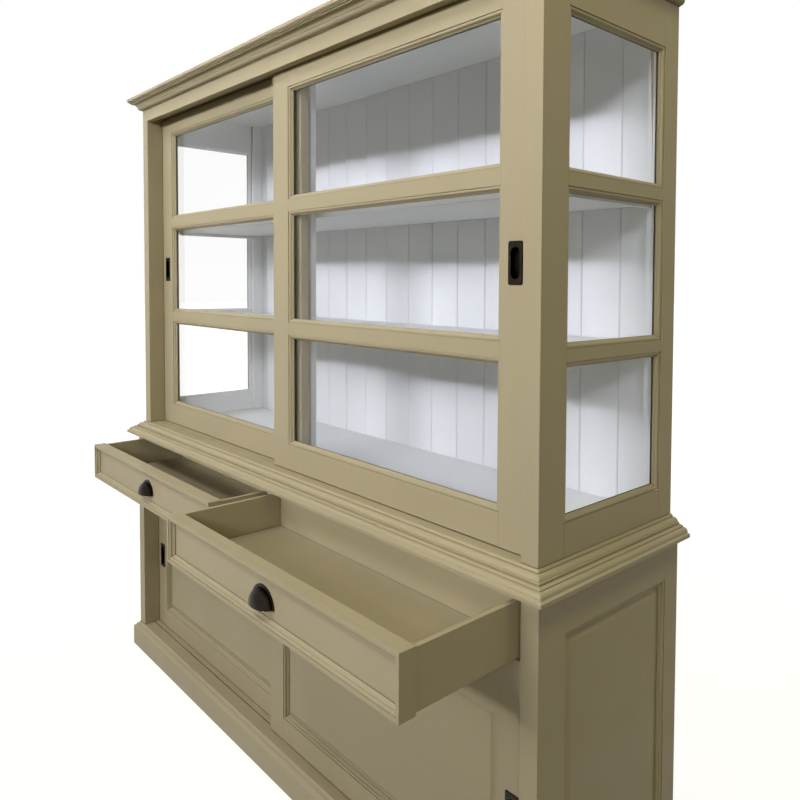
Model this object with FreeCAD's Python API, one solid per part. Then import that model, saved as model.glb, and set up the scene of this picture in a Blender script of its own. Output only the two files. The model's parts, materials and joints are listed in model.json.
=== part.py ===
"""Dresser with hutch: a painted two-part cabinet with sliding doors and two wide drawers.

Millimetres, +Z up, front facing -Y. The origin is on the floor under the middle of the base.
Every function named build_... returns one dictionary of node name -> list of solids.
"""
import FreeCAD, Part
import math
import os

# ---------------------------------------------------------------- driving dimensions
# Base cabinet
BASE_WIDTH = 2000.0
BASE_DEPTH = 490.0
BOARD = 19.0                  # carcass boards, shelves and the hutch floor
PLINTH_HEIGHT = 67.0          # flat face of the plinth, below the base floor
PLINTH_PROJECTION = 19.0
PLINTH_THICKNESS = 28.0
BEARER_WIDTH = 60.0
LOWER_DOOR_OPENING = 538.0    # base floor to the drawer rail
DRAWER_RAIL_HEIGHT = 56.0
DRAWER_OPENING = 122.0
TOP_RAIL_HEIGHT = 12.0
TOP_RAIL_DEPTH = 60.0
BASE_TOP_THICKNESS = 25.0
BASE_TOP_OVERHANG = 31.0
POST_WIDTH = 45.0             # base posts, seen from the front
BASE_POST_DEPTH = 79.0
BASE_REAR_POST_DEPTH = 52.0
SIDE_THICKNESS = 28.0
SIDE_TOP_RAIL = 91.0
SIDE_BOTTOM_RAIL = 74.0
PANEL_MOULDING_WIDTH = 10.0    # around the raised panels of the sides and of the lower doors
PANEL_GROUND = 14.0           # ground of a raised panel, below the face of its frame
PANEL_FIELD = 7.0             # raised field, below the face of its frame
PANEL_FIELD_INSET = 29.0      # edge of the field, inside the frame
PANEL_FLAT = 2.0              # flat ground between the moulding and the cove
RAIL_THICKNESS = 22.0
DUST_BOARD = 12.0
BACK_THICKNESS = 12.0
BACK_INSET = 2.0
DIVIDER_WIDTH = 22.0
PARTITION_SETBACK = 95.0      # clear of both door tracks
BASE_SHELF_HEIGHT = 270.0     # above the base floor

# Hutch
HUTCH_INSET = 20.0            # narrower than the base at each end
HUTCH_SETBACK = 20.0          # behind the front of the base
HUTCH_POST_WIDTH = 44.0
HUTCH_POST_DEPTH = 76.0
HUTCH_REAR_POST_DEPTH = 54.0
UPPER_DOOR_OPENING = 1118.0   # hutch floor to the frieze
FRIEZE_HEIGHT = 45.0
HUTCH_BASE_MOULDING = 23.5
CORNICE_PROJECTION = 42.0
CORNICE_HEIGHT = 42.0
CORNICE_LAP = 3.0             # how far the cornice laps below the hutch top
HUTCH_SIDE_TOP_RAIL = 105.0
HUTCH_SIDE_BOTTOM_RAIL = 68.0
SIDE_MUNTIN = 26.0
HUTCH_SHELF_LOWER = 379.0     # underside, above the hutch floor
HUTCH_SHELF_UPPER = 716.0
SHELF_FRONT_SETBACK = 124.0
CENTRE_POST_WIDTH = 30.0
CENTRE_POST_DEPTH = 18.0
CLEAT = 12.0
BOARD_PITCH = 116.0           # tongued and grooved back boards
FIRST_BOARD = 36.0            # the board at the left end is ripped narrower
BACK_TONGUE = 5.0
BACK_TONGUE_THICKNESS = 4.0
BACK_BEVEL = 2.5
BACK_JOINT = 0.8              # open joint between two back boards

# Sliding doors
DOOR_THICKNESS = 22.0
FRONT_DOOR_SETBACK = 24.7
DOOR_SPACING = 6.9            # between the front door's back and the rear door's face
DOOR_END_GAP = 2.0
DOOR_FLOOR_GAP = 2.0
UPPER_DOOR_OVERLAP = 51.0     # past the middle of the cabinet
LOWER_DOOR_OVERLAP = 43.0
UPPER_DOOR_HEAD_LAP = 6.0     # door top above the lower edge of the frieze in front of it
LOWER_DOOR_HEAD_LAP = 14.0    # door top above the lower edge of the drawer rail
UPPER_STILE = 82.0
LOWER_STILE = 75.0
UPPER_TOP_RAIL = 54.0
UPPER_BOTTOM_RAIL = 70.0
LOWER_TOP_RAIL = 90.0
LOWER_BOTTOM_RAIL = 62.0
DOOR_MUNTIN = 34.0
LITES = 3
GLAZING_WIDTH = 11.5
GLAZING_DEPTH = 13.0
GLASS_THICKNESS = 4.0
DOOR_PANEL_EDGE = 6.0         # thickness of the panel under its moulding
DOOR_TONGUE = 3.0             # along the lower and upper edges of each door
TONGUE_CLEARANCE = 0.6        # on each side of a tongue in its groove
SILL_GROOVE_DEPTH = 6.0
HEAD_LIFT = 8.0               # free height above a door, to lift it out of its sill groove
HEAD_TONGUE_LAP = 8.0         # length of the upper tongue inside its groove
HEAD_GROOVE_DEPTH = 16.0
HEAD_BATTEN_DEPTH = 60.0
RUNNING_CLEARANCE = 0.3

# Drawers
DRAWER_GAP = 2.0
DRAWER_FRONT_THICKNESS = 36.0
DRAWER_PANEL_RECESS = 14.0
DRAWER_FRAME = 8.0            # flat edge around the moulding
DRAWER_MOULDING_WIDTH = 20.0
DRAWER_DEPTH = 378.0          # face to the rear ends of the sides
DRAWER_TAIL = 60.0            # length of the sides behind the back, which keeps them on the runners
DRAWER_SIDE = 12.0
DRAWER_SIDE_INSET = 2.0       # inside the end of the front
DRAWER_SIDE_DROP = 3.0        # side tops below the top of the front
DRAWER_SIDE_LIFT = 4.6        # side bottoms above the bottom of the front
DRAWER_BOTTOM = 6.0
DRAWER_BOTTOM_LIFT = 12.0     # above the lower edges of the sides
RUNNER_WIDTH = 30.0
LEFT_DRAWER_PULLED = 168.0    # how far each drawer stands open at rest
RIGHT_DRAWER_PULLED = 286.0

# Dark bronze fittings
CUP_WIDTH = 94.0
CUP_HEIGHT = 42.0
CUP_PROJECTION = 26.0
CUP_WALL = 2.5
CUP_FLANGE = 6.0
CUP_BOSS_RADIUS = 4.5
CUP_BOSS_LENGTH = 10.0
CUP_BOSS_SPACING = 60.0
CUP_BOSS_HEIGHT = 10.0        # above the pull's lower edge
CUP_LIFT = 2.5                # middle of the pull above the middle of the drawer front
SCREW_RADIUS = 2.0
SCREW_BITE = 6.0              # length inside the boss
SCREW_HEAD_RADIUS = 4.0
SCREW_HEAD = 2.5
SCREW_CLEARANCE = 0.3
FLUSH_PULL_WIDTH = 38.5
FLUSH_PULL_HEIGHT = 86.0
FLUSH_PULL_PLATE = 2.0
FLUSH_PULL_PROUD = 1.5
FLUSH_PULL_CORNER = 4.0
FLUSH_RECESS_WIDTH = 23.5
FLUSH_RECESS_HEIGHT = 63.0
FLUSH_RECESS_DEPTH = 11.0
FLUSH_RECESS_WALL = 1.5
FLUSH_FIT = 0.3
UPPER_PULL_HEIGHT = 572.0     # centre, above the hutch floor
LOWER_PULL_HEIGHT = 263.0     # centre, above the base floor

# Mouldings
QUIRK_WIDTH = 1.5             # narrow step beside a bead
QUIRK_DEPTH = 2.0

OVERCUT = 1.0                 # how far a cutting shape reaches past the face that it cuts

# ---------------------------------------------------------------- derived places
FRONT = -BASE_DEPTH / 2
BACK = BASE_DEPTH / 2
BASE_END = BASE_WIDTH / 2
BASE_OPENING = BASE_END - POST_WIDTH
FLOOR_TOP = PLINTH_HEIGHT + BOARD
RAIL_BOTTOM = FLOOR_TOP + LOWER_DOOR_OPENING
RAIL_TOP = RAIL_BOTTOM + DRAWER_RAIL_HEIGHT
OPENING_TOP = RAIL_TOP + DRAWER_OPENING
CARCASS_TOP = OPENING_TOP + TOP_RAIL_HEIGHT
BASE_TOP = CARCASS_TOP + BASE_TOP_THICKNESS
DUST_BOTTOM = RAIL_TOP - DUST_BOARD
BACK_FACE = BACK - BACK_INSET - BACK_THICKNESS

HUTCH_END = BASE_END - HUTCH_INSET
HUTCH_FRONT = FRONT + HUTCH_SETBACK
HUTCH_OPENING = HUTCH_END - HUTCH_POST_WIDTH
HUTCH_FLOOR = BASE_TOP + BOARD
FRIEZE_BOTTOM = HUTCH_FLOOR + UPPER_DOOR_OPENING
CEILING = FRIEZE_BOTTOM + FRIEZE_HEIGHT
REAR_DOOR_SETBACK = FRONT_DOOR_SETBACK + DOOR_THICKNESS + DOOR_SPACING


# ---------------------------------------------------------------- shape helpers
def box(x0, x1, y0, y1, z0, z1):
    """Axis-aligned block between two corners."""
    return Part.makeBox(x1 - x0, y1 - y0, z1 - z0, FreeCAD.Vector(x0, y0, z0))


def closed_wire(points, place):
    """Closed wire. A point of 2 numbers ends a line, one of 4 ends an arc through its first pair."""
    edges = []
    here = place(*points[0][-2:])
    start = here
    for point in points[1:]:
        there = place(*point[-2:])
        if len(point) == 4:
            edges.append(Part.Arc(here, place(*point[:2]), there).toShape())
        else:
            edges.append(Part.LineSegment(here, there).toShape())
        here = there
    edges.append(Part.LineSegment(here, start).toShape())
    return Part.Wire(edges)


def prism(points, place, direction):
    """Extrude a closed outline along a vector."""
    return Part.Face(closed_wire(points, place)).extrude(direction)


def mirrored(shape):
    """The same shape at the other end of the cabinet."""
    return shape.mirror(FreeCAD.Vector(0, 0, 0), FreeCAD.Vector(1, 0, 0))


def both_ends(shape):
    """A shape at +X and its mirror image at -X."""
    return [shape, mirrored(shape)]


def cut_all(shape, tools):
    """Subtract several shapes."""
    for tool in tools:
        shape = shape.cut(tool)
    return shape


def moulding_run(profile, end, front, back, bottom):
    """Front and two side lengths of one moulding, mitred at the front corners.

    The profile's points are (projection, height); the lengths wrap a body that ends at
    x = +-end and y = front.
    """
    out = max(point[-2] for point in profile)
    lap = -min(point[-2] for point in profile)
    low = bottom - 1
    tall = max(point[-1] for point in profile) + 2
    across = 2 * (end + out)
    front_bar = prism(profile, lambda p, z: FreeCAD.Vector(-end - out, front - p, bottom + z),
                      FreeCAD.Vector(across, 0, 0))
    front_plan = prism([(-end - out, front - out), (end + out, front - out),
                        (end - lap, front + lap), (-end + lap, front + lap)],
                       lambda x, y: FreeCAD.Vector(x, y, low), FreeCAD.Vector(0, 0, tall))
    side_bar = prism(profile, lambda p, z: FreeCAD.Vector(end + p, front - out, bottom + z),
                     FreeCAD.Vector(0, back - front + out, 0))
    side_plan = prism([(end + out, front - out), (end + out, back), (end - lap, back),
                       (end - lap, front + lap)],
                      lambda x, y: FreeCAD.Vector(x, y, low), FreeCAD.Vector(0, 0, tall))
    return [front_bar.common(front_plan)] + both_ends(side_bar.common(side_plan))


def frame_stick(profile, length):
    """One mitred length along +X: profile points are (inward, depth), inward is +Z, depth +Y."""
    width = max(point[-2] for point in profile)
    deep = max(point[-1] for point in profile) + 2
    bar = prism(profile, lambda a, d: FreeCAD.Vector(0, d, a), FreeCAD.Vector(length, 0, 0))
    plan = prism([(0, 0), (length, 0), (length - width, width), (width, width)],
                 lambda x, z: FreeCAD.Vector(x, -1, z), FreeCAD.Vector(0, deep, 0))
    return bar.common(plan)


def picture_frame(profile, x0, x1, z0, z1, face):
    """Four mitred lengths inside the rectangle x0..x1, z0..z1; depths are measured from face."""
    turns = [(x1 - x0, 0, (x0, z0)), (z1 - z0, -90, (x1, z0)),
             (x1 - x0, 180, (x1, z1)), (z1 - z0, 90, (x0, z1))]
    sticks = []
    for length, angle, corner in turns:
        stick = frame_stick(profile, length)
        stick.rotate(FreeCAD.Vector(0, 0, 0), FreeCAD.Vector(0, 1, 0), angle)
        stick.translate(FreeCAD.Vector(corner[0], face, corner[1]))
        sticks.append(stick)
    return sticks


def onto_side(shape, end):
    """Turn a shape drawn facing -Y, with its face at y = 0, onto the side at x = end."""
    turned = shape.copy()
    turned.rotate(FreeCAD.Vector(0, 0, 0), FreeCAD.Vector(0, 0, 1), 90)
    turned.translate(FreeCAD.Vector(end, 0, 0))
    return turned


def lite_edges(low, high, muntin):
    """Bottom and top of each lite between two rails, with equal lites."""
    height = (high - low - (LITES - 1) * muntin) / LITES
    return [(low + i * (height + muntin), low + i * (height + muntin) + height)
            for i in range(LITES)]


# ---------------------------------------------------------------- moulding profiles
def ovolo_to_panel(width, depth):
    """Moulding around a flat panel: quirk, round, fillet and a small cove down to the panel."""
    return [(0, depth), (0, QUIRK_DEPTH), (QUIRK_WIDTH, QUIRK_DEPTH),
            (0.3 * width, 0.12 * depth, 0.55 * width, 0.45 * depth), (0.6 * width, 0.55 * depth),
            (0.75 * width, 0.68 * depth, 0.86 * width, 0.88 * depth), (width, 0.88 * depth),
            (width, depth)]


def glazing_profile():
    """Moulding in front of the glass: quirk, round and a straight fall to the glass."""
    width = GLAZING_WIDTH
    depth = GLAZING_DEPTH
    return [(0, depth), (0, QUIRK_DEPTH), (QUIRK_WIDTH, QUIRK_DEPTH),
            (0.5 * width, 1.2 * QUIRK_DEPTH, 0.66 * width, 0.5 * depth),
            (0.78 * width, 0.58 * depth), (width, 0.8 * depth), (width, depth)]


def stop_profile(depth):
    """Stop behind the glass: full width on the glass, bevelled towards the back."""
    return [(0, 0), (GLAZING_WIDTH, 0), (0.3 * GLAZING_WIDTH, depth), (0, depth)]


def drawer_frame_profile():
    """Flat edge, then a bead and a cove down to the drawer panel."""
    width = DRAWER_MOULDING_WIDTH
    depth = DRAWER_PANEL_RECESS
    flat = DRAWER_FRAME
    fall = width - flat
    return [(0, depth), (0, 0), (flat, 0), (flat, QUIRK_DEPTH), (flat + QUIRK_WIDTH, QUIRK_DEPTH),
            (flat + 0.42 * fall, 0.22 * depth, flat + 0.5 * fall, 0.5 * depth),
            (flat + 0.58 * fall, 0.56 * depth),
            (flat + 0.72 * fall, 0.7 * depth, width, 0.84 * depth), (width, depth)]


def plinth_profile():
    """Skirting board: flat face, bevel, fillet and a cove up to the base floor's edge."""
    out = PLINTH_PROJECTION
    lap = PLINTH_THICKNESS - out
    top = PLINTH_HEIGHT
    rise = BOARD
    return [(-lap, 0), (out, 0), (out, top), (0.9 * out, top + 0.12 * rise),
            (0.55 * out, top + 0.42 * rise), (0.55 * out, top + 0.56 * rise),
            (0.3 * out, top + 0.66 * rise, 0.1 * out, top + rise), (0, top + rise),
            (0, top), (-lap, top)]


def hutch_base_profile():
    """Moulding around the hutch floor: square foot, quarter round, quirk and a bevelled top."""
    out = HUTCH_BASE_MOULDING
    return [(0, 0), (out, 0), (out, 0.24 * BOARD), (0.85 * out, 0.24 * BOARD),
            (0.68 * out, 0.58 * BOARD, 0.26 * out, 0.68 * BOARD), (0.26 * out, 0.8 * BOARD),
            (0.14 * out, BOARD), (0, BOARD)]


def base_top_profile():
    """Edge of the base top: square lip, cove, round and a small top fillet."""
    out = BASE_TOP_OVERHANG
    tall = BASE_TOP_THICKNESS
    return [(0, 0), (out, 0), (out, 0.32 * tall), (0.87 * out, 0.38 * tall),
            (0.82 * out, 0.42 * tall, 0.8 * out, 0.5 * tall),
            (0.7 * out, 0.74 * tall, 0.48 * out, 0.83 * tall), (0.42 * out, 0.83 * tall),
            (0.42 * out, 0.92 * tall), (0.3 * out, tall), (0, tall)]


def cornice_profile():
    """Quirk, ovolo, cove and three stepped fillets under the top edge."""
    out = CORNICE_PROJECTION
    tall = CORNICE_HEIGHT
    return [(0, 0), (0.08 * out, 0), (0.08 * out, 0.04 * tall),
            (0.26 * out, 0.1 * tall, 0.34 * out, 0.3 * tall), (0.38 * out, 0.32 * tall),
            (0.5 * out, 0.5 * tall, 0.76 * out, 0.56 * tall), (0.76 * out, 0.63 * tall),
            (0.86 * out, 0.65 * tall), (0.86 * out, 0.71 * tall), (0.95 * out, 0.73 * tall),
            (0.95 * out, 0.77 * tall), (out, 0.79 * tall), (out, tall), (0, tall)]


# ---------------------------------------------------------------- base cabinet
def build_plinth():
    """Mitred skirting boards, and the rear and centre bearers that share its height."""
    boards = moulding_run(plinth_profile(), BASE_END, FRONT, BACK, 0)
    inner_end = BASE_END + PLINTH_PROJECTION - PLINTH_THICKNESS
    inner_front = FRONT - PLINTH_PROJECTION + PLINTH_THICKNESS
    rear = box(-inner_end, inner_end, BACK - PLINTH_THICKNESS, BACK, 0, PLINTH_HEIGHT)
    centre = box(-BEARER_WIDTH / 2, BEARER_WIDTH / 2, inner_front, BACK - PLINTH_THICKNESS,
                 0, PLINTH_HEIGHT)
    return {"plinth": boards, "plinth_bearers": [rear, centre]}


def door_grooves(front, half_width, low, high):
    """Cutting shapes of the two grooves for one pair of sliding doors."""
    half = DOOR_TONGUE / 2 + TONGUE_CLEARANCE
    grooves = []
    for setback in (FRONT_DOOR_SETBACK, REAR_DOOR_SETBACK):
        centre = front + setback + DOOR_THICKNESS / 2
        grooves.append(box(-half_width, half_width, centre - half, centre + half, low, high))
    return grooves


def sill_grooves(front, half_width, top):
    """Two grooves that the doors' lower tongues run in."""
    return door_grooves(front, half_width, top - SILL_GROOVE_DEPTH, top + OVERCUT)


def build_base_floor():
    """Floor board of the base, grooved for the lower doors."""
    board = box(-BASE_END, BASE_END, FRONT, BACK, PLINTH_HEIGHT, FLOOR_TOP)
    return {"base_floor": [cut_all(board, sill_grooves(FRONT, BASE_OPENING, FLOOR_TOP))]}


def build_base_posts():
    """Four corner posts between the base floor and the top."""
    front = box(BASE_OPENING, BASE_END, FRONT, FRONT + BASE_POST_DEPTH, FLOOR_TOP, CARCASS_TOP)
    rear = box(BASE_OPENING, BASE_END, BACK - BASE_REAR_POST_DEPTH, BACK, FLOOR_TOP, CARCASS_TOP)
    return {"base_posts_front": both_ends(front), "base_posts_rear": both_ends(rear)}


def raised_panel(x0, x1, z0, z1, face, back):
    """Panel whose flat ground rises in a cove to a raised field; back is its rear, behind the face."""
    start = PANEL_MOULDING_WIDTH + PANEL_FLAT
    run = PANEL_FIELD_INSET - start
    rise = PANEL_GROUND - PANEL_FIELD
    radius = (run ** 2 + rise ** 2) / (2 * rise)
    half_turn = math.asin(run / radius) / 2
    middle = (start + radius * math.sin(half_turn),
              PANEL_GROUND - radius * (1 - math.cos(half_turn)))
    edge = (PANEL_FIELD_INSET, PANEL_FIELD)
    profile = [(0, back), (0, PANEL_GROUND), (start, PANEL_GROUND), middle + edge,
               (PANEL_FIELD_INSET, back)]
    shape = box(x0 + PANEL_FIELD_INSET, x1 - PANEL_FIELD_INSET, face + PANEL_FIELD, face + back,
                z0 + PANEL_FIELD_INSET, z1 - PANEL_FIELD_INSET)
    for border in picture_frame(profile, x0, x1, z0, z1, face):
        shape = shape.fuse(border)
    return shape.removeSplitter()


def build_base_sides():
    """Side rails between the posts, with a raised panel and its mitred moulding."""
    y0 = FRONT + BASE_POST_DEPTH
    y1 = BACK - BASE_REAR_POST_DEPTH
    low = FLOOR_TOP + SIDE_BOTTOM_RAIL
    high = CARCASS_TOP - SIDE_TOP_RAIL
    inner = BASE_END - SIDE_THICKNESS
    rails = [box(inner, BASE_END, y0, y1, FLOOR_TOP, low),
             box(inner, BASE_END, y0, y1, high, CARCASS_TOP)]
    panel = onto_side(raised_panel(y0, y1, low, high, 0, SIDE_THICKNESS), BASE_END)
    profile = ovolo_to_panel(PANEL_MOULDING_WIDTH, PANEL_GROUND)
    sticks = [onto_side(stick, BASE_END) for stick in picture_frame(profile, y0, y1, low, high, 0)]
    return {"base_side_rails": rails + [mirrored(rail) for rail in rails],
            "base_side_panels": both_ends(panel),
            "base_side_mouldings": sticks + [mirrored(stick) for stick in sticks]}


def build_base_inside():
    """Back, dust board, partition, two half shelves and the rails around the drawers."""
    back = box(-BASE_OPENING, BASE_OPENING, BACK_FACE, BACK - BACK_INSET, FLOOR_TOP, CARCASS_TOP)
    rail_back = FRONT + RAIL_THICKNESS
    lower_rail = box(-BASE_OPENING, BASE_OPENING, FRONT, rail_back, RAIL_BOTTOM, RAIL_TOP)
    upper_rail = box(-BASE_OPENING, BASE_OPENING, FRONT, FRONT + TOP_RAIL_DEPTH,
                     OPENING_TOP, CARCASS_TOP)
    dust = box(-BASE_OPENING, BASE_OPENING, rail_back, BACK_FACE, DUST_BOTTOM, RAIL_TOP)
    divider = box(-DIVIDER_WIDTH / 2, DIVIDER_WIDTH / 2, FRONT, BACK_FACE, RAIL_TOP, OPENING_TOP)
    part_front = FRONT + PARTITION_SETBACK
    partition = box(-BOARD / 2, BOARD / 2, part_front, BACK_FACE, FLOOR_TOP, DUST_BOTTOM)
    shelf_bottom = FLOOR_TOP + BASE_SHELF_HEIGHT
    side_inner = BASE_END - SIDE_THICKNESS
    shelf = box(BOARD / 2, side_inner, part_front, BACK - BASE_REAR_POST_DEPTH - RUNNING_CLEARANCE,
                shelf_bottom, shelf_bottom + BOARD)
    cleat_back = BACK - BASE_REAR_POST_DEPTH
    cleats = [box(BOARD / 2, BOARD / 2 + CLEAT, part_front, cleat_back,
                  shelf_bottom - CLEAT, shelf_bottom),
              box(side_inner - CLEAT, side_inner, part_front, cleat_back,
                  shelf_bottom - CLEAT, shelf_bottom)]
    return {"base_back": [back], "drawer_rails": [lower_rail, upper_rail], "dust_board": [dust],
            "drawer_divider": [divider], "base_partition": [partition],
            "base_shelves": both_ends(shelf),
            "shelf_cleats": cleats + [mirrored(cleat) for cleat in cleats]}


def build_base_top():
    """Base top with its moulded edge on the front and both ends."""
    board = box(-BASE_END, BASE_END, FRONT, BACK, CARCASS_TOP, BASE_TOP)
    edges = moulding_run(base_top_profile(), BASE_END, FRONT, BACK, CARCASS_TOP)
    for edge in edges:
        board = board.fuse(edge)
    return {"base_top": [board.removeSplitter()]}


def head_batten(front, half_width, door_top, high):
    """Batten above a pair of doors, grooved from below for their upper tongues."""
    y0 = front + RAIL_THICKNESS
    low = door_top + HEAD_LIFT
    batten = box(-half_width, half_width, y0, y0 + HEAD_BATTEN_DEPTH, low, high)
    return cut_all(batten, door_grooves(front, half_width, low - OVERCUT, low + HEAD_GROOVE_DEPTH))


def upper_door_top():
    """Height of the upper doors' top edge, behind the frieze."""
    return FRIEZE_BOTTOM + UPPER_DOOR_HEAD_LAP


def lower_door_top():
    """Height of the lower doors' top edge, behind the drawer rail."""
    return RAIL_BOTTOM + LOWER_DOOR_HEAD_LAP


def build_tracks():
    """Head battens of both pairs of sliding doors."""
    return {"door_tracks": [head_batten(FRONT, BASE_OPENING, lower_door_top(), DUST_BOTTOM),
                            head_batten(HUTCH_FRONT, HUTCH_OPENING, upper_door_top(), CEILING)]}


# ---------------------------------------------------------------- hutch
def build_hutch_floor():
    """Floor board of the hutch, grooved for the upper doors, and its base moulding."""
    board = box(-HUTCH_END, HUTCH_END, HUTCH_FRONT, BACK, BASE_TOP, HUTCH_FLOOR)
    board = cut_all(board, sill_grooves(HUTCH_FRONT, HUTCH_OPENING, HUTCH_FLOOR))
    run = moulding_run(hutch_base_profile(), HUTCH_END, HUTCH_FRONT, BACK, BASE_TOP)
    return {"hutch_floor": [board], "hutch_base_moulding": run}


def build_hutch_posts():
    """Four corner posts, and the slim post that carries the middle of the shelves."""
    front = box(HUTCH_OPENING, HUTCH_END, HUTCH_FRONT, HUTCH_FRONT + HUTCH_POST_DEPTH,
                HUTCH_FLOOR, CEILING)
    rear = box(HUTCH_OPENING, HUTCH_END, BACK - HUTCH_REAR_POST_DEPTH, BACK, HUTCH_FLOOR, CEILING)
    shelf_front = HUTCH_FRONT + SHELF_FRONT_SETBACK
    centre = box(-CENTRE_POST_WIDTH / 2, CENTRE_POST_WIDTH / 2, shelf_front - CENTRE_POST_DEPTH,
                 shelf_front, HUTCH_FLOOR, CEILING)
    return {"hutch_posts_front": both_ends(front), "hutch_posts_rear": both_ends(rear),
            "hutch_centre_post": [centre]}


def build_hutch_sides():
    """Rails and muntins of the glazed ends, with beads, glass and inner stops."""
    y0 = HUTCH_FRONT + HUTCH_POST_DEPTH
    y1 = BACK - HUTCH_REAR_POST_DEPTH
    low = HUTCH_FLOOR + HUTCH_SIDE_BOTTOM_RAIL
    high = CEILING - HUTCH_SIDE_TOP_RAIL
    inner = HUTCH_END - SIDE_THICKNESS
    lites = lite_edges(low, high, SIDE_MUNTIN)
    bars = [HUTCH_FLOOR] + [edge for lite in lites for edge in lite] + [CEILING]
    rails = [box(inner, HUTCH_END, y0, y1, bars[i], bars[i + 1]) for i in range(0, len(bars), 2)]
    beads = []
    panes = []
    glass = HUTCH_END - GLAZING_DEPTH
    stop = stop_profile(glass - GLASS_THICKNESS - inner)
    for bottom, top in lites:
        for stick in picture_frame(glazing_profile(), y0, y1, bottom, top, 0):
            beads.append(onto_side(stick, HUTCH_END))
        for stick in picture_frame(stop, y0, y1, bottom, top, 0):
            beads.append(onto_side(stick, glass - GLASS_THICKNESS))
        panes.append(box(glass - GLASS_THICKNESS, glass, y0, y1, bottom, top))
    return {"hutch_side_frame_right": rails,
            "hutch_side_frame_left": [mirrored(rail) for rail in rails],
            "hutch_side_beads": beads + [mirrored(bead) for bead in beads],
            "hutch_side_glass": panes + [mirrored(pane) for pane in panes]}


def build_back_boards():
    """Vertical tongued and grooved boards between the rear posts, with bevelled front edges."""
    boards = []
    count = 1 + math.ceil((2 * HUTCH_OPENING - FIRST_BOARD) / BOARD_PITCH)
    second = -HUTCH_OPENING + FIRST_BOARD
    tongue_y = BACK_FACE + BACK_THICKNESS / 2
    for i in range(count):
        x0 = max(second + (i - 1) * BOARD_PITCH, -HUTCH_OPENING)
        first = i == 0
        last = i == count - 1
        x1 = HUTCH_OPENING if last else second + i * BOARD_PITCH - BACK_JOINT
        left_bevel = 0 if first else BACK_BEVEL
        right_bevel = 0 if last else BACK_BEVEL
        outline = [(x0, BACK_FACE + left_bevel), (x0 + left_bevel, BACK_FACE),
                   (x1 - right_bevel, BACK_FACE), (x1, BACK_FACE + right_bevel),
                   (x1, BACK_FACE + BACK_THICKNESS), (x0, BACK_FACE + BACK_THICKNESS)]
        if first:
            outline.pop(0)
        if last:
            outline.pop(-3)
        board = prism(outline, lambda x, y: FreeCAD.Vector(x, y, HUTCH_FLOOR),
                      FreeCAD.Vector(0, 0, CEILING - HUTCH_FLOOR))
        if not last:
            board = board.fuse(box(x1, x1 + BACK_JOINT + BACK_TONGUE,
                                   tongue_y - BACK_TONGUE_THICKNESS / 2,
                                   tongue_y + BACK_TONGUE_THICKNESS / 2, HUTCH_FLOOR, CEILING))
        if not first:
            board = board.cut(box(x0, x0 + BACK_TONGUE, tongue_y - BACK_TONGUE_THICKNESS / 2,
                                  tongue_y + BACK_TONGUE_THICKNESS / 2, HUTCH_FLOOR, CEILING))
        boards.append(board)
    return {"hutch_back_boards": boards}


def build_hutch_shelves():
    """Two shelves, notched around the rear posts, on cleats along the glazed ends."""
    shelves = []
    cleats = []
    y0 = HUTCH_FRONT + SHELF_FRONT_SETBACK
    half = HUTCH_END - SIDE_THICKNESS
    notch_x = HUTCH_OPENING - RUNNING_CLEARANCE
    notch_y = BACK - HUTCH_REAR_POST_DEPTH - RUNNING_CLEARANCE
    for height in (HUTCH_SHELF_LOWER, HUTCH_SHELF_UPPER):
        bottom = HUTCH_FLOOR + height
        board = box(-half, half, y0, BACK_FACE, bottom, bottom + BOARD)
        notch = box(notch_x, half + OVERCUT, notch_y, BACK_FACE + OVERCUT,
                    bottom - OVERCUT, bottom + BOARD + OVERCUT)
        shelves.append(cut_all(board, both_ends(notch)))
        cleats += both_ends(box(half - CLEAT, half, y0, notch_y, bottom - CLEAT, bottom))
    return {"hutch_shelves": shelves, "shelf_cleats": cleats}


def build_hutch_top():
    """Frieze, ceiling board and cornice."""
    frieze = box(-HUTCH_OPENING, HUTCH_OPENING, HUTCH_FRONT, HUTCH_FRONT + RAIL_THICKNESS,
                 FRIEZE_BOTTOM, CEILING)
    board = box(-HUTCH_END, HUTCH_END, HUTCH_FRONT, BACK, CEILING, CEILING + BOARD)
    cornice = moulding_run(cornice_profile(), HUTCH_END, HUTCH_FRONT, BACK, CEILING - CORNICE_LAP)
    return {"frieze": [frieze], "hutch_top": [board], "cornice": cornice}


# ---------------------------------------------------------------- fittings
def rounded_rectangle(width, height, radius, y):
    """Face of a rounded rectangle about the origin, in the plane at y."""
    a = width / 2
    b = height / 2
    bend = radius * (1 - math.sqrt(0.5))
    points = [(-a + radius, -b), (a - radius, -b), (a - bend, -b + bend, a, -b + radius),
              (a, b - radius), (a - bend, b - bend, a - radius, b), (-a + radius, b),
              (-a + bend, b - bend, -a, b - radius), (-a, -b + radius),
              (-a + bend, -b + bend, -a + radius, -b)]
    edges = []
    here = FreeCAD.Vector(points[0][0], y, points[0][1])
    for point in points[1:]:
        there = FreeCAD.Vector(point[-2], y, point[-1])
        if len(point) == 4:
            middle = FreeCAD.Vector(point[0], y, point[1])
            edges.append(Part.Arc(here, middle, there).toShape())
        elif here.distanceToPoint(there) > 0.01:
            edges.append(Part.LineSegment(here, there).toShape())
        here = there
    return Part.Face(Part.Wire(edges))


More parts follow.
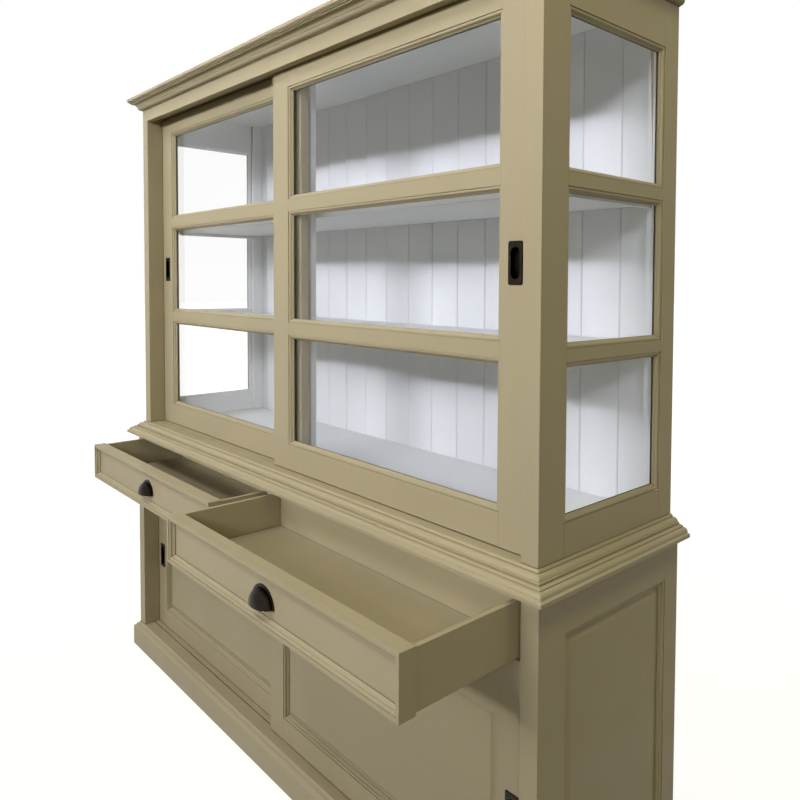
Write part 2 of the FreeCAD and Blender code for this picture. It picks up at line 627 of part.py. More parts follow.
def flush_pull(x, face, z):
    """Rectangular plate with an oval cup let into a door stile whose face is at y = face."""
    plate = rounded_rectangle(FLUSH_PULL_WIDTH, FLUSH_PULL_HEIGHT, FLUSH_PULL_CORNER,
                              -FLUSH_PULL_PROUD)
    shape = plate.extrude(FreeCAD.Vector(0, FLUSH_PULL_PLATE, 0))
    cup_width = FLUSH_RECESS_WIDTH + 2 * FLUSH_RECESS_WALL
    cup = rounded_rectangle(cup_width, FLUSH_RECESS_HEIGHT + 2 * FLUSH_RECESS_WALL,
                            cup_width / 2, -FLUSH_PULL_PROUD + FLUSH_PULL_PLATE)
    deep = FLUSH_RECESS_DEPTH + FLUSH_RECESS_WALL - FLUSH_PULL_PLATE
    shape = shape.fuse(cup.extrude(FreeCAD.Vector(0, deep, 0)))
    hollow = rounded_rectangle(FLUSH_RECESS_WIDTH, FLUSH_RECESS_HEIGHT, FLUSH_RECESS_WIDTH / 2,
                               -FLUSH_PULL_PROUD - OVERCUT)
    shape = shape.cut(hollow.extrude(FreeCAD.Vector(0, FLUSH_RECESS_DEPTH + OVERCUT, 0)))
    shape = shape.removeSplitter()
    shape.translate(FreeCAD.Vector(x, face, z))
    return shape


def flush_mortise(x, face, z):
    """Pocket in a stile that takes a flush pull, with a small clearance."""
    plate = rounded_rectangle(FLUSH_PULL_WIDTH + 2 * FLUSH_FIT, FLUSH_PULL_HEIGHT + 2 * FLUSH_FIT,
                              FLUSH_PULL_CORNER + FLUSH_FIT, -OVERCUT)
    sunk = FLUSH_PULL_PLATE - FLUSH_PULL_PROUD
    shape = plate.extrude(FreeCAD.Vector(0, OVERCUT + sunk, 0))
    cup_width = FLUSH_RECESS_WIDTH + 2 * (FLUSH_RECESS_WALL + FLUSH_FIT)
    cup = rounded_rectangle(cup_width,
                            FLUSH_RECESS_HEIGHT + 2 * (FLUSH_RECESS_WALL + FLUSH_FIT),
                            cup_width / 2, -OVERCUT)
    deep = FLUSH_RECESS_DEPTH + FLUSH_RECESS_WALL - FLUSH_PULL_PROUD + FLUSH_FIT
    shape = shape.fuse(cup.extrude(FreeCAD.Vector(0, OVERCUT + deep, 0)))
    shape.translate(FreeCAD.Vector(x, face, z))
    return shape


def cup_shell():
    """Thin quarter dome with a flange around its arch, open underneath and at the back."""
    unit = 100.0
    dome_half = CUP_WIDTH / 2 - CUP_FLANGE
    dome_height = CUP_HEIGHT - CUP_FLANGE
    inner = unit * (1 - CUP_WALL / dome_half)
    flange = unit * CUP_WIDTH / 2 / dome_half
    flange_thickness = unit * CUP_WALL / CUP_PROJECTION
    forward = FreeCAD.Vector(0, -1, 0)
    shell = Part.makeSphere(unit).fuse(Part.makeCylinder(flange, flange_thickness,
                                                         FreeCAD.Vector(0, 0, 0), forward))
    shell = shell.cut(Part.makeSphere(inner))
    shell = shell.common(box(-2 * unit, 2 * unit, -2 * unit, 0, 0, 2 * unit)).removeSplitter()
    matrix = FreeCAD.Matrix()
    matrix.scale(FreeCAD.Vector(dome_half / unit, CUP_PROJECTION / unit, dome_height / unit))
    return shell.transformGeometry(matrix)


def cup_pull(x, panel, bottom):
    """Cup pull on a panel whose face is at y = panel, with two bosses for its screws."""
    shape = cup_shell()
    for side in (-1, 1):
        place = FreeCAD.Vector(side * CUP_BOSS_SPACING / 2, 0, CUP_BOSS_HEIGHT)
        boss = Part.makeCylinder(CUP_BOSS_RADIUS, CUP_BOSS_LENGTH, place,
                                 FreeCAD.Vector(0, -1, 0))
        hole = Part.makeCylinder(SCREW_RADIUS + SCREW_CLEARANCE, SCREW_BITE + SCREW_CLEARANCE,
                                 place, FreeCAD.Vector(0, -1, 0))
        shape = shape.fuse(boss).cut(hole)
    shape.translate(FreeCAD.Vector(x, panel, bottom))
    return shape


def cup_screws(x, panel, board_back, bottom):
    """Two screws from inside the drawer into the pull's bosses, and their clearance holes."""
    screws = []
    holes = []
    back = FreeCAD.Vector(0, 1, 0)
    for side in (-1, 1):
        tip = FreeCAD.Vector(x + side * CUP_BOSS_SPACING / 2, panel - SCREW_BITE,
                             bottom + CUP_BOSS_HEIGHT)
        length = board_back - panel + SCREW_BITE
        shank = Part.makeCylinder(SCREW_RADIUS, length, tip, back)
        under_head = FreeCAD.Vector(tip.x, board_back, tip.z)
        head = Part.makeCylinder(SCREW_HEAD_RADIUS, SCREW_HEAD, under_head, back)
        screws.append(shank.fuse(head).removeSplitter())
        holes.append(Part.makeCylinder(SCREW_RADIUS + SCREW_CLEARANCE, length, tip, back))
    return screws, holes


# ---------------------------------------------------------------- sliding doors
def add_tongues(frame, x0, x1, face, bottom, top):
    """Add the tongues that run in the sill groove and in the head batten's groove."""
    centre = face + DOOR_THICKNESS / 2
    half = DOOR_TONGUE / 2
    low = bottom - DOOR_FLOOR_GAP - SILL_GROOVE_DEPTH + RUNNING_CLEARANCE
    high = top + HEAD_LIFT + HEAD_TONGUE_LAP
    frame = frame.fuse(box(x0, x1, centre - half, centre + half, low, bottom))
    frame = frame.fuse(box(x0, x1, centre - half, centre + half, top, high))
    return frame.removeSplitter()


def split_frame(frame, x0, x1, stile, bars):
    """Cut a door's frame into two stiles and the rails between them, ended at the heights in bars."""
    deep = BASE_DEPTH
    low = bars[0] - DOOR_FLOOR_GAP - SILL_GROOVE_DEPTH
    high = bars[-1] + HEAD_LIFT + HEAD_GROOVE_DEPTH
    pieces = [frame.common(box(x0, x0 + stile, -deep, deep, low, high)),
              frame.common(box(x1 - stile, x1, -deep, deep, low, high))]
    ends = [low] + bars[1:-1] + [high]
    for i in range(0, len(ends), 2):
        pieces.append(frame.common(box(x0 + stile, x1 - stile, -deep, deep,
                                       ends[i], ends[i + 1])))
    return pieces


def glass_door(prefix, x0, x1, face, pull_x):
    """Glazed sliding door with equal lites, glazing beads, panes and a flush pull."""
    bottom = HUTCH_FLOOR + DOOR_FLOOR_GAP
    top = upper_door_top()
    inner0 = x0 + UPPER_STILE
    inner1 = x1 - UPPER_STILE
    frame = box(x0, x1, face, face + DOOR_THICKNESS, bottom, top)
    beads = []
    panes = []
    glass = face + GLAZING_DEPTH
    behind = glass + GLASS_THICKNESS
    stop = stop_profile(face + DOOR_THICKNESS - behind)
    bars = [bottom]
    for low, high in lite_edges(bottom + UPPER_BOTTOM_RAIL, top - UPPER_TOP_RAIL, DOOR_MUNTIN):
        bars += [low, high]
        frame = frame.cut(box(inner0, inner1, face - OVERCUT, face + DOOR_THICKNESS + OVERCUT,
                              low, high))
        beads += picture_frame(glazing_profile(), inner0, inner1, low, high, face)
        beads += picture_frame(stop, inner0, inner1, low, high, behind)
        panes.append(box(inner0, inner1, glass, behind, low, high))
    pull_z = HUTCH_FLOOR + UPPER_PULL_HEIGHT
    frame = frame.cut(flush_mortise(pull_x, face, pull_z))
    frame = add_tongues(frame, x0, x1, face, bottom, top)
    frame = split_frame(frame, x0, x1, UPPER_STILE, bars + [top])
    return {prefix + "_frame": frame, prefix + "_beads": beads,
            prefix + "_glass": panes, prefix + "_pull": [flush_pull(pull_x, face, pull_z)]}


def panel_door(prefix, x0, x1, face, pull_x):
    """Framed sliding door with a raised panel, its moulding and a flush pull."""
    bottom = FLOOR_TOP + DOOR_FLOOR_GAP
    top = lower_door_top()
    inner0 = x0 + LOWER_STILE
    inner1 = x1 - LOWER_STILE
    low = bottom + LOWER_BOTTOM_RAIL
    high = top - LOWER_TOP_RAIL
    frame = box(x0, x1, face, face + DOOR_THICKNESS, bottom, top)
    frame = frame.cut(box(inner0, inner1, face - OVERCUT, face + DOOR_THICKNESS + OVERCUT,
                          low, high))
    pull_z = FLOOR_TOP + LOWER_PULL_HEIGHT
    frame = frame.cut(flush_mortise(pull_x, face, pull_z))
    frame = add_tongues(frame, x0, x1, face, bottom, top)
    frame = split_frame(frame, x0, x1, LOWER_STILE, [bottom, low, high, top])
    panel = raised_panel(inner0, inner1, low, high, face, PANEL_GROUND + DOOR_PANEL_EDGE)
    profile = ovolo_to_panel(PANEL_MOULDING_WIDTH, PANEL_GROUND)
    return {prefix + "_frame": frame, prefix + "_panel": [panel],
            prefix + "_moulding": picture_frame(profile, inner0, inner1, low, high, face),
            prefix + "_pull": [flush_pull(pull_x, face, pull_z)]}


def build_doors():
    """Left doors run on the rear tracks and right doors on the front tracks."""
    parts = {}
    upper_end = HUTCH_OPENING - DOOR_END_GAP
    lower_end = BASE_OPENING - DOOR_END_GAP
    upper_pull = upper_end - UPPER_STILE / 2
    lower_pull = lower_end - LOWER_STILE / 2
    parts.update(glass_door("left_glass_door", -upper_end, UPPER_DOOR_OVERLAP,
                            HUTCH_FRONT + REAR_DOOR_SETBACK, -upper_pull))
    parts.update(glass_door("right_glass_door", -UPPER_DOOR_OVERLAP, upper_end,
                            HUTCH_FRONT + FRONT_DOOR_SETBACK, upper_pull))
    parts.update(panel_door("left_panel_door", -lower_end, LOWER_DOOR_OVERLAP,
                            FRONT + REAR_DOOR_SETBACK, -lower_pull))
    parts.update(panel_door("right_panel_door", -LOWER_DOOR_OVERLAP, lower_end,
                            FRONT + FRONT_DOOR_SETBACK, lower_pull))
    return parts


# ---------------------------------------------------------------- drawers
def drawer_span():
    """Inner and outer x of the right drawer's front, and its bottom and top."""
    inner = DIVIDER_WIDTH / 2 + DRAWER_GAP
    outer = BASE_OPENING - DRAWER_GAP
    return inner, outer, RAIL_TOP + DRAWER_GAP, OPENING_TOP - DRAWER_GAP


def drawer(prefix, x0, x1, pulled):
    """One drawer: front, mitred face moulding, box, bottom and cup pull with its screws."""
    bottom, top = drawer_span()[2:]
    face = FRONT - pulled
    panel = face + DRAWER_PANEL_RECESS
    board_back = face + DRAWER_FRONT_THICKNESS
    board = box(x0, x1, panel, board_back, bottom, top)
    side_low = bottom + DRAWER_SIDE_LIFT
    side_high = top - DRAWER_SIDE_DROP
    outer0 = x0 + DRAWER_SIDE_INSET
    outer1 = x1 - DRAWER_SIDE_INSET
    rear = face + DRAWER_DEPTH
    back_rear = rear - DRAWER_TAIL
    inner0 = outer0 + DRAWER_SIDE
    inner1 = outer1 - DRAWER_SIDE
    sides = [box(outer0, inner0, board_back, rear, side_low, side_high),
             box(inner1, outer1, board_back, rear, side_low, side_high)]
    back = box(inner0, inner1, back_rear - DRAWER_SIDE, back_rear, side_low, side_high)
    floor_low = side_low + DRAWER_BOTTOM_LIFT
    floor = box(inner0, inner1, board_back, back_rear - DRAWER_SIDE, floor_low,
                floor_low + DRAWER_BOTTOM)
    middle = (x0 + x1) / 2
    pull_bottom = (bottom + top) / 2 + CUP_LIFT - CUP_HEIGHT / 2
    screws, holes = cup_screws(middle, panel, board_back, pull_bottom)
    board = cut_all(board, holes)
    return {prefix + "_front": [board],
            prefix + "_moulding": picture_frame(drawer_frame_profile(), x0, x1, bottom, top, face),
            prefix + "_box": sides + [back], prefix + "_bottom": [floor],
            prefix + "_pull": [cup_pull(middle, panel, pull_bottom)], prefix + "_screws": screws}


def build_drawers():
    """Both drawers, each standing open by its own amount."""
    inner, outer = drawer_span()[:2]
    parts = drawer("left_drawer", -outer, -inner, LEFT_DRAWER_PULLED)
    parts.update(drawer("right_drawer", inner, outer, RIGHT_DRAWER_PULLED))
    return parts


def build_runners():
    """Wear strips under the four drawer sides, on the dust board."""
    top = drawer_span()[2] + DRAWER_SIDE_LIFT - RUNNING_CLEARANCE
    y0 = FRONT + DRAWER_FRONT_THICKNESS + DRAWER_GAP
    strips = []
    for x0 in (DIVIDER_WIDTH / 2, BASE_OPENING - RUNNER_WIDTH):
        strips += both_ends(box(x0, x0 + RUNNER_WIDTH, y0, BACK_FACE, RAIL_TOP, top))
    return {"drawer_runners": strips}


# ---------------------------------------------------------------- whole object
def main():
    """Build every node and write one STEP file for each."""
    builders = [build_plinth, build_base_floor, build_base_posts, build_base_sides,
                build_base_inside, build_base_top, build_tracks, build_hutch_floor,
                build_hutch_posts, build_hutch_sides, build_back_boards, build_hutch_shelves,
                build_hutch_top, build_doors, build_drawers, build_runners]
    nodes = {}
    for builder in builders:
        for name, solids in builder().items():
            nodes.setdefault(name, []).extend(solids)
    os.makedirs("parts", exist_ok=True)
    for name, solids in nodes.items():
        shape = solids[0] if len(solids) == 1 else Part.makeCompound(solids)
        shape.exportStep("parts/" + name + ".step")
        print(name, len(shape.Solids), "solids", round(shape.Volume / 1000), "cm3",
              "valid" if shape.isValid() else "NOT VALID")
    print(len(nodes), "nodes")


main()
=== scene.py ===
"""Looks of the dresser with hutch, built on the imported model. Metres, +Z up, front facing -Y."""
import json
import math

import bmesh
import bpy
from mathutils import Matrix, Vector


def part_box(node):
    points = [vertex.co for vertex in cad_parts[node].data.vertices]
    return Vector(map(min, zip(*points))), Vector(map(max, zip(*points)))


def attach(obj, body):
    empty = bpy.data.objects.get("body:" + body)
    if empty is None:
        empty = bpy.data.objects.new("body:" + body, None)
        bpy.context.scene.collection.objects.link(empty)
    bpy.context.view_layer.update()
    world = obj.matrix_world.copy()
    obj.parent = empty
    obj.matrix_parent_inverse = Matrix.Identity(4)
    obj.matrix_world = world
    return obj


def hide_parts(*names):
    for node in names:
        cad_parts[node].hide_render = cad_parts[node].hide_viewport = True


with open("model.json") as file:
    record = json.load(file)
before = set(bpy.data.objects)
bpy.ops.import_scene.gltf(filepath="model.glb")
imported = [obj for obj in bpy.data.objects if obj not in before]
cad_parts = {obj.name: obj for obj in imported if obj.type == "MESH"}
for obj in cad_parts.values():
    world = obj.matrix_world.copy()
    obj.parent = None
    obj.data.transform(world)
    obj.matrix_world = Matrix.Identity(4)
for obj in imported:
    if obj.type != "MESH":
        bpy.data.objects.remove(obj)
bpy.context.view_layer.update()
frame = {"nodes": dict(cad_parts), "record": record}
record = frame["record"]
body_of_node = {node: body for body, nodes in record["behaviour"]["bodies"].items()
                for node in nodes}
slot_of_node = {part["node"]: part["material_slot"] for part in record["subparts"]}

# ---------------------------------------------------------------- camera
PHOTO_SIDE = 800                      # pixels
FOCAL_PIXELS = 717.93
OPTICAL_AXIS_PIXEL = (486.6, 309.04)  # where the lens points, in the photograph
CAMERA_PLACE = Vector((1.8411, -1.2291, 1.3935))
CAMERA_YAW = math.radians(44.937)
CAMERA_PITCH = math.radians(-2.1923)
CAMERA_ROLL = math.radians(0.43173)
SENSOR_WIDTH = 36.0                   # millimetres
CLIP_START = 0.05
CLIP_END = 200.0


def make_camera():
    """Camera at the photograph's place, lens and shift."""
    data = bpy.data.cameras.new("camera")
    data.sensor_width = SENSOR_WIDTH
    data.lens = SENSOR_WIDTH * FOCAL_PIXELS / PHOTO_SIDE
    data.shift_x = 0.5 - OPTICAL_AXIS_PIXEL[0] / PHOTO_SIDE
    data.shift_y = OPTICAL_AXIS_PIXEL[1] / PHOTO_SIDE - 0.5
    data.clip_start = CLIP_START
    data.clip_end = CLIP_END
    forward = Vector((-math.sin(CAMERA_YAW) * math.cos(CAMERA_PITCH),
                      math.cos(CAMERA_YAW) * math.cos(CAMERA_PITCH), math.sin(CAMERA_PITCH)))
    level = Vector((math.cos(CAMERA_YAW), math.sin(CAMERA_YAW), 0))
    upright = level.cross(forward)
    right = level * math.cos(CAMERA_ROLL) + upright * math.sin(CAMERA_ROLL)
    up = upright * math.cos(CAMERA_ROLL) - level * math.sin(CAMERA_ROLL)
    camera = bpy.data.objects.new("camera", data)
    camera.matrix_world = Matrix.Translation(CAMERA_PLACE) @ Matrix(
        (right, up, -forward)).transposed().to_4x4()
    bpy.context.collection.objects.link(camera)
    bpy.context.scene.camera = camera


# ---------------------------------------------------------------- materials
# Linear colours
BEIGE = (0.378, 0.319, 0.181)
WHITE = (0.79, 0.80, 0.775)
BARE_WOOD = (0.46, 0.30, 0.16)
WOOD_GRAIN_TONE = 0.62                # of the dark grain, beside the light wood
BRONZE = (0.024, 0.019, 0.015)
BRONZE_WORN = (0.065, 0.050, 0.036)
STEEL = (0.45, 0.45, 0.46)
PANE = (0.95, 0.97, 0.96)
FLOOR = (0.20, 0.18, 0.125)
PURE_WHITE = (1.0, 1.0, 1.0)

# A tone is a pair: its least and its greatest factor. A bump is a pair: its strength and its
# height in metres. A noise has three values: features per metre, detail and roughness. Those of a
# noise that follows the grain count in the mesh's own grain scale.
EVERYWHERE = (1, 1, 1)                # object coordinates as they are
NOISE_RANGE = (0.3, 0.7)              # nearly all values of a noise lie between these two
CREVICE_SAMPLES = 16
CREASE_SHADE_REACH = 0.005                  # of the painted shade in a quirk or a joint, which also stands for the joint's own dark line
CREASE_SHADE_RANGE = (0.15, 0.85)           # openness at which the painted shade in a hollow is darkest, and has gone
DRIFT_NOISE = (2.3, 3.0, 0.5)
DRIFT_TONE = (0.965, 1.03)
STROKE_NOISE = (1.0, 4.0, 0.6)
STROKE_TONE = (0.985, 1.012)
STROKE_BUMP = (0.12, 0.0005)
STIPPLE_NOISE = (650.0, 2.0, 0.5)
STIPPLE_BUMP = (0.10, 0.0004)
GLOSS_NOISE = (9.0, 4.0, 0.5)
PAINT_SMOOTHER = 0.05                 # roughness below the paint's own, in its glossiest spots
PAINT_ROUGHER = 0.06
PAINT_IOR = 1.45
PAINT_SPECULAR = 0.2
BEIGE_ROUGHNESS = 0.46
BEIGE_CREASE_SHADE = 0.30                   # tone of the painted shade at the bottom of a hollow
WHITE_ROUGHNESS = 0.50
# Tone of the painted shade at the bottom of a hollow, in the white paint.
WHITE_CREASE_SHADE = 0.72
MOTTLE_NOISE = (120.0, 5.0, 0.65)
PATCH_NOISE = (38.0, 3.0, 0.5)
PATCH_RANGE = (0.42, 0.68)            # values of the noise where the rubbed patches begin and end
RUB_RANGE = (0.45, 0.75)
GRIT_NOISE = (900.0, 3.0, 0.5)
BRONZE_BUMP = (0.22, 0.0003)
BRONZE_ROUGHNESS = (0.30, 0.52)
CUP_SHADE_REACH = 0.03                # of the painted shade inside the cups and the recesses of the flush pulls
CUP_SHADE_RANGE = (0.55, 0.97)
PANE_MIRROR = 0.035                   # share reflected straight on
PANE_POWER = 5.0                      # growth of that share towards grazing angles
PANE_ROUGHNESS = (0.01, 0.04)
SMEAR_NOISE = (6.0, 4.0, 0.5)
SMEAR_RANGE = (0.45, 0.7)
SMEAR = 0.01                          # share that a smear adds to the mirror
WOOD_NOISE = (1.0, 5.0, 0.6)
WOOD_RANGE = (0.35, 0.65)
WOOD_ROUGHNESS = (0.5, 0.62)
WOOD_BUMP = (0.3, 0.0004)
TURNING_NOISE = (1400.0, 2.0, 0.5)
TURNING_TONE = (0.9, 1.08)
TURNING_BUMP = (0.1, 0.0001)
STEEL_ROUGHNESS = (0.28, 0.42)
# Numbers of the colour sockets of a Mix node.
MIX_FIRST = 6
MIX_SECOND = 7
MIX_RESULT = 2


class Shader:
    """The node tree of a material or a world, with short ways to add and join nodes."""

    def __init__(self, owner, surface="Principled BSDF"):
        self.owner = owner
        self.owner.use_nodes = True
        self.tree = self.owner.node_tree
        self.surface = self.tree.nodes[surface]

    def node(self, kind, **settings):
        """Add a node and set its properties."""
        node = self.tree.nodes.new("ShaderNode" + kind)
        for key, value in settings.items():
            setattr(node, key, value)
        return node

    def join(self, source, target):
        """Link one socket to another."""
        self.tree.links.new(source, target)

    def place(self, scale=None):
        """Object coordinates, multiplied by a vector or by the mesh's own grain scale."""
        here = self.node("TexCoord").outputs["Object"]
        product = self.node("VectorMath", operation="MULTIPLY")
        self.join(here, product.inputs[0])
        if scale is None:
            grain = self.node("Attribute", attribute_name="grain")
            self.join(grain.outputs["Vector"], product.inputs[1])
        else:
            product.inputs[1].default_value = scale
        return product.outputs["Vector"]

    def noise(self, place, scale, detail, roughness):
        """Noise from 0 to 1 at a place."""
        node = self.node("TexNoise")
        node.inputs["Scale"].default_value = scale
        node.inputs["Detail"].default_value = detail
        node.inputs["Roughness"].default_value = roughness
        self.join(place, node.inputs["Vector"])
        return node.outputs["Fac"]

    def even_noise(self, scale, detail, roughness):
        """Noise alike in all directions."""
        return self.noise(self.place(EVERYWHERE), scale, detail, roughness)

    def grain_noise(self, scale, detail, roughness):
        """Noise drawn out along each piece."""
        return self.noise(self.place(), scale, detail, roughness)

    def span(self, value, low, high, from_low=0.0, from_high=1.0):
        """Map a value linearly from one range to another, clamped."""
        node = self.node("MapRange")
        node.inputs["From Min"].default_value = from_low
        node.inputs["From Max"].default_value = from_high
        node.inputs["To Min"].default_value = low
        node.inputs["To Max"].default_value = high
        self.join(value, node.inputs["Value"])
        return node.outputs["Result"]

    def spread(self, noise, low, high):
        """Map the values of a noise to a range, clamped."""
        return self.span(noise, low, high, *NOISE_RANGE)

    def times(self, first, second):
        """Product of two values."""
        node = self.node("Math", operation="MULTIPLY")
        self.join(first, node.inputs[0])
        self.join(second, node.inputs[1])
        return node.outputs["Value"]

    def plus(self, first, second):
        """Sum of two values."""
        node = self.node("Math", operation="ADD")
        self.join(first, node.inputs[0])
        self.join(second, node.inputs[1])
        return node.outputs["Value"]

    def shade(self, colour, value):
        """A constant colour multiplied by a value."""
        node = self.node("VectorMath", operation="SCALE")
        node.inputs[0].default_value = colour
        self.join(value, node.inputs["Scale"])
        return node.outputs["Vector"]

    def mix(self, factor, first, second):
        """Blend two constant colours by a factor."""
        node = self.node("Mix", data_type="RGBA")
        self.join(factor, node.inputs["Factor"])
        node.inputs[MIX_FIRST].default_value = (*first, 1)
        node.inputs[MIX_SECOND].default_value = (*second, 1)
        return node.outputs[MIX_RESULT]

    def bump(self, height, strength, distance, under=None):
        """Bump from a height, over another bump's normal."""
        node = self.node("Bump")
        node.inputs["Strength"].default_value = strength
        node.inputs["Distance"].default_value = distance
        self.join(height, node.inputs["Height"])
        if under is not None:
            self.join(under, node.inputs["Normal"])
        return node.outputs["Normal"]

    def hollow_shade(self, reach, darkest, closed, clear):
        """Painted shade: 1 on open surfaces, down to darkest in hollows as narrow as the reach."""
        node = self.node("AmbientOcclusion", samples=CREVICE_SAMPLES)
        node.inputs["Distance"].default_value = reach
        return self.span(node.outputs["AO"], darkest, 1.0, closed, clear)

    def set(self, **values):
        """Set or join inputs of the surface: a constant goes on the socket itself."""
        for key, value in values.items():
            socket = self.surface.inputs[key.replace("_", " ")]
            if isinstance(value, bpy.types.NodeSocket):
                self.join(value, socket)
            else:
                socket.default_value = value


def new_shader(name):
    """Shader of a new material."""
    return Shader(bpy.data.materials.new(name))


def paint(name, colour, roughness, darkest):
    """Satin furniture paint: drifting tone, brush strokes along each piece, a fine stipple and
    painted shade in its quirks and joints.
    """
    shader = new_shader(name)
    drift = shader.spread(shader.even_noise(*DRIFT_NOISE), *DRIFT_TONE)
    strokes = shader.grain_noise(*STROKE_NOISE)
    streak = shader.spread(strokes, *STROKE_TONE)
    # Painted shade in quirks, hollows and joints, also standing for the dark lines of the joints.
    crease_shade = shader.hollow_shade(CREASE_SHADE_REACH, darkest, *CREASE_SHADE_RANGE)
    tone = shader.times(shader.times(drift, streak), crease_shade)
    stipple = shader.even_noise(*STIPPLE_NOISE)
    gloss = shader.even_noise(*GLOSS_NOISE)
    normal = shader.bump(strokes, *STROKE_BUMP, shader.bump(stipple, *STIPPLE_BUMP))
    shader.set(Base_Color=shader.shade(colour, tone), Normal=normal, IOR=PAINT_IOR,
               Specular_IOR_Level=PAINT_SPECULAR,
               Roughness=shader.spread(gloss, roughness - PAINT_SMOOTHER,
                                       roughness + PAINT_ROUGHER))
    return shader.owner


def dark_bronze():
    """Oil-rubbed bronze: mottled dark surface, rubbed to brown metal where it is handled, and
    painted shade darkening its hollows to black.
    """
    shader = new_shader("dark_bronze")
    mottle = shader.even_noise(*MOTTLE_NOISE)
    patch = shader.span(shader.even_noise(*PATCH_NOISE), 0.0, 1.0, *PATCH_RANGE)
    rub = shader.times(shader.span(mottle, 0.0, 1.0, *RUB_RANGE), patch)
    grit = shader.even_noise(*GRIT_NOISE)
    # Painted shade: the bronze colour is taken down to black in the hollows of the cups and
    # recesses.
    skin_with_hollow_shade = shader.node("VectorMath", operation="SCALE")
    shader.join(shader.mix(rub, BRONZE, BRONZE_WORN), skin_with_hollow_shade.inputs[0])
    shader.join(shader.hollow_shade(CUP_SHADE_REACH, 0.0, *CUP_SHADE_RANGE), skin_with_hollow_shade.inputs["Scale"])
    shader.set(Base_Color=skin_with_hollow_shade.outputs["Vector"], Metallic=1.0,
               Roughness=shader.spread(mottle, *BRONZE_ROUGHNESS),
               Normal=shader.bump(shader.plus(grit, mottle), *BRONZE_BUMP))
    return shader.owner


def clear_glass():
    """Thin clear pane: a faint mirror on its outer face that grows towards grazing angles."""
    shader = new_shader("clear_glass")
    tilt = shader.node("LayerWeight")
    power = shader.node("Math", operation="POWER")
    shader.join(tilt.outputs["Facing"], power.inputs[0])
    power.inputs[1].default_value = PANE_POWER
    outer = shader.span(shader.node("NewGeometry").outputs["Backfacing"], 1.0, 0.0)
    smear = shader.span(shader.even_noise(*SMEAR_NOISE), 0.0, SMEAR, *SMEAR_RANGE)
    mirror = shader.plus(shader.span(power.outputs["Value"], PANE_MIRROR, 1.0), smear)
    shader.set(Base_Color=(*PANE, 1), Metallic=1.0, Alpha=shader.times(mirror, outer),
               Roughness=shader.span(smear, *PANE_ROUGHNESS, 0.0, SMEAR))
    return shader.owner


def bare_wood():
    """Planed hardwood strip with a straight grain."""
    shader = new_shader("bare_wood")
    grain = shader.grain_noise(*WOOD_NOISE)
    dark = tuple(channel * WOOD_GRAIN_TONE for channel in BARE_WOOD)
    shader.set(Base_Color=shader.mix(shader.span(grain, 0.0, 1.0, *WOOD_RANGE), dark, BARE_WOOD),
               Roughness=shader.span(grain, *WOOD_ROUGHNESS),
               Normal=shader.bump(grain, *WOOD_BUMP))
    return shader.owner


def plated_steel():
    """Zinc plated screws with a faint turned texture."""
    shader = new_shader("screw_steel")
    turned = shader.even_noise(*TURNING_NOISE)
    tone = shader.spread(turned, *TURNING_TONE)
    shader.set(Base_Color=shader.shade(STEEL, tone), Metallic=1.0,
               Roughness=shader.span(turned, *STEEL_ROUGHNESS),
               Normal=shader.bump(turned, *TURNING_BUMP))
    return shader.owner


def make_materials():
    """All materials by slot name."""
    return {"beige_paint": paint("beige_paint", BEIGE, BEIGE_ROUGHNESS, BEIGE_CREASE_SHADE),
            "white_paint": paint("white_paint", WHITE, WHITE_ROUGHNESS, WHITE_CREASE_SHADE),
            "dark_bronze": dark_bronze(), "clear_glass": clear_glass(),
            "bare_wood": bare_wood(), "screw_steel": plated_steel()}


# ---------------------------------------------------------------- pieces from the frame
GRID = 1e6                            # corners closer than a micrometre are one corner
FLAT_ANGLE = math.radians(0.6)
SMOOTH_ANGLE = math.radians(28)
BEVEL_SEGMENTS = 2
GRAIN_ACROSS = 420.0                  # brush strokes per metre, across a piece and along it
GRAIN_ALONG = 9.0
INSIDE_LOW = Vector((-0.9635, -0.1495, 0.8575))   # the white painted inside of the hutch
INSIDE_HIGH = Vector((0.9635, 0.2315, 2.0215))
FACE_PROBE = 0.002                    # in front of a face, where its side of a wall is told
POCKET_MARGIN = 0.002                 # around a pull, where no edge is eased


def closed_solids(node):
    """The node's solids, each as a list of triangles: a solid ends where its edges all meet."""
    mesh = frame["nodes"][node].data
    corners = [tuple(round(c * GRID) for c in vertex.co) for vertex in mesh.vertices]
    solids = []
    current = []
    unmatched = set()
    for polygon in mesh.polygons:
        triangle = [corners[i] for i in polygon.vertices]
        if len(set(triangle)) < 3:
            continue
        current.append(triangle)
        for a, b in zip(triangle, triangle[1:] + triangle[:1]):
            if (b, a) in unmatched:
                unmatched.remove((b, a))
            else:
                unmatched.add((a, b))
        if not unmatched:
            solids.append(current)
            current = []
    if current:
        solids.append(current)
    return solids


def add_solid(work, triangles):
    """Add one solid to a bmesh, with its grain running along its longest side."""
    grain = work.verts.layers.float_vector["grain"]
    corners = {corner for triangle in triangles for corner in triangle}
    spans = [max(c[i] for c in corners) - min(c[i] for c in corners) for i in range(3)]
    scale = Vector((GRAIN_ACROSS, GRAIN_ACROSS, GRAIN_ACROSS))
    scale[spans.index(max(spans))] = GRAIN_ALONG
    made = {}
    for corner in corners:
        made[corner] = work.verts.new([c / GRID for c in corner])
        made[corner][grain] = scale
    faces = []
    for triangle in triangles:
        try:
            faces.append(work.faces.new([made[c] for c in triangle]))
        except ValueError:            # the solid has this face already
            continue
    edges = list({edge for face in faces for edge in face.edges})
    bmesh.ops.dissolve_limit(work, angle_limit=FLAT_ANGLE, verts=list(made.values()), edges=edges)


def is_inside(face):
    """True for a face that looks into the white painted hutch."""
    point = face.calc_center_median() + face.normal * FACE_PROBE
    return all(INSIDE_LOW[i] < point[i] < INSIDE_HIGH[i] for i in range(3))


